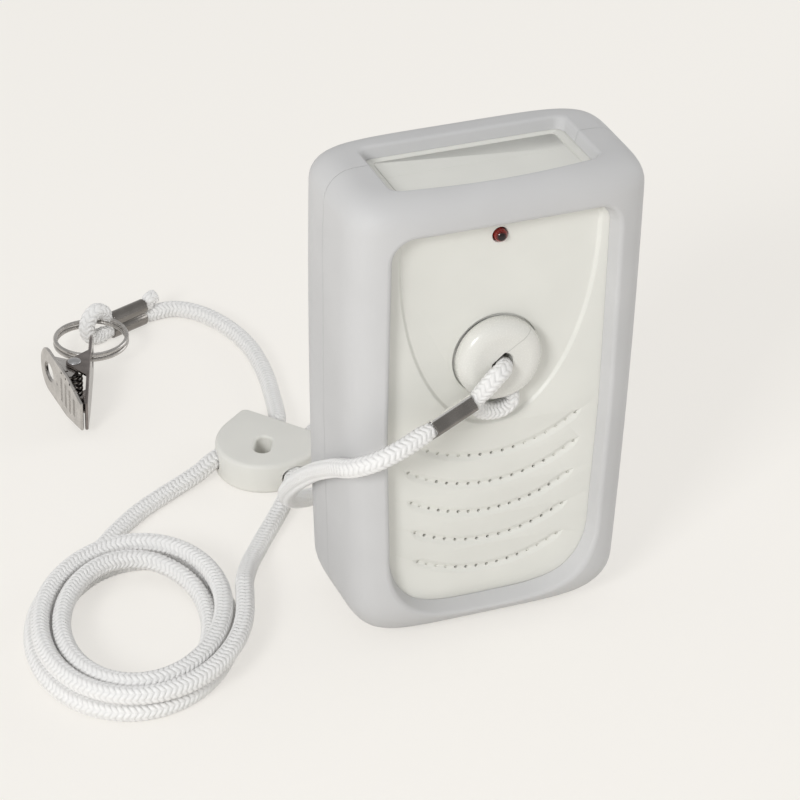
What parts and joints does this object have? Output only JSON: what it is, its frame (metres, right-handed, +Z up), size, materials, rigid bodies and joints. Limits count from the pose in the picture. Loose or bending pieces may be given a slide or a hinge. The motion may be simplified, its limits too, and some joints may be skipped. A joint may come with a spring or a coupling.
{
  "type": "personal alarm",
  "caption": "Magnet-operated personal alarm: speaker case in a soft rubber boot, with a pull-off magnet on a braided cord that ends in a spring clip.",
  "frame": {"origin": "under the middle of the boot, on the surface that it stands on", "axes": "+Z up, the panel with the sound holes faces -Y, +X to the right of someone who looks at that panel"},
  "size_m": [0.1401, 0.1724, 0.115],
  "materials": {
    "boot_rubber": "matte soft-touch grey rubber",
    "case_plastic": "fine satin warm white",
    "disc_plastic": "satin-gloss white",
    "screw_steel": "zinc plated",
    "board_green": "solder-masked laminate",
    "lamp_red": "clear dark red lens",
    "black_plastic": "matte black",
    "reed_glass": "clear green glass",
    "lead_wire": "insulated wire",
    "keeper_steel": "plain steel",
    "gasket_foam": "closed foam",
    "basket_steel": "dull grey",
    "magnet_metal": "nickel plated",
    "paper_cone": "pulp paper",
    "switch_metal": "tinned",
    "battery_skin": "printed steel jacket without lettering",
    "brass_parts": "nickel brass",
    "parts_mixed": "small electronic parts",
    "cord_nylon": "braided white nylon",
    "bright_steel": "nickel plated sheet"
  },
  "bodies": {
    "alarm": {"boot": "boot_rubber", "front_shell": "case_plastic", "rear_shell": "case_plastic", "case_screws": "screw_steel", "circuit_board": "board_green", "board_screws": "screw_steel", "lamp": "lamp_red", "lamp_spacer": "black_plastic", "reed_switch": "reed_glass", "reed_leads": "lead_wire", "keeper_ring": "keeper_steel", "speaker_gasket": "gasket_foam", "speaker_basket": "basket_steel", "speaker_magnet": "magnet_metal", "speaker_cone": "paper_cone", "speaker_leads": "lead_wire", "switch_body": "switch_metal", "battery": "battery_skin", "battery_terminals": "brass_parts", "battery_snap": "black_plastic", "battery_leads": "lead_wire", "control_chip": "black_plastic", "capacitors": "parts_mixed", "resistors": "parts_mixed", "cord_lead": "cord_nylon", "cord_from_coil": "cord_nylon", "cord_coil": "cord_nylon", "cord_to_coil": "cord_nylon", "cord_to_clip": "cord_nylon", "adjuster": "disc_plastic", "clip_sleeve": "bright_steel", "clip_eye": "cord_nylon", "split_ring": "bright_steel"},
    "magnet": {"disc_cap": "disc_plastic", "disc_magnets": "magnet_metal", "disc_back": "keeper_steel", "disc_eye": "cord_nylon", "disc_sleeve": "bright_steel"},
    "door": {"battery_door": "case_plastic"},
    "slider": {"volume_slider": "black_plastic"},
    "clip": {"clip_rear": "bright_steel", "clip_spring": "bright_steel", "clip_pin": "screw_steel"},
    "jaw": {"clip_front": "bright_steel"}
  },
  "joints": [
    {"name": "magnet_pull", "type": "slide", "parent": "alarm", "child": "magnet", "axis": [0, -1, 0], "range_m": [0, 0.01], "deforming": ["cord_lead"]},
    {"name": "battery_door_hinge", "type": "hinge", "parent": "alarm", "child": "door", "pos_m": [0, 0.0136, 0.0096], "axis": [-1, 0, 0], "range_deg": [0, 75]},
    {"name": "volume_slide", "type": "slide", "parent": "alarm", "child": "slider", "axis": [1, 0, 0], "range_m": [-0.002, 0.002]},
    {"name": "clip_swing", "type": "hinge", "parent": "alarm", "child": "clip", "pos_m": [-0.05269, 0.11996, 0.006], "axis": [-0.9397, 0.342, 0], "range_deg": [0, 45]},
    {"name": "jaw_pivot", "type": "hinge", "parent": "clip", "child": "jaw", "pos_m": [-0.05978, 0.10996, 0.006], "axis": [0, 0, -1], "range_deg": [0, 20], "stiffness_Nm_per_rad": 0.05, "springref_deg": -20.05, "deforming": ["clip_spring"]}
  ]
}
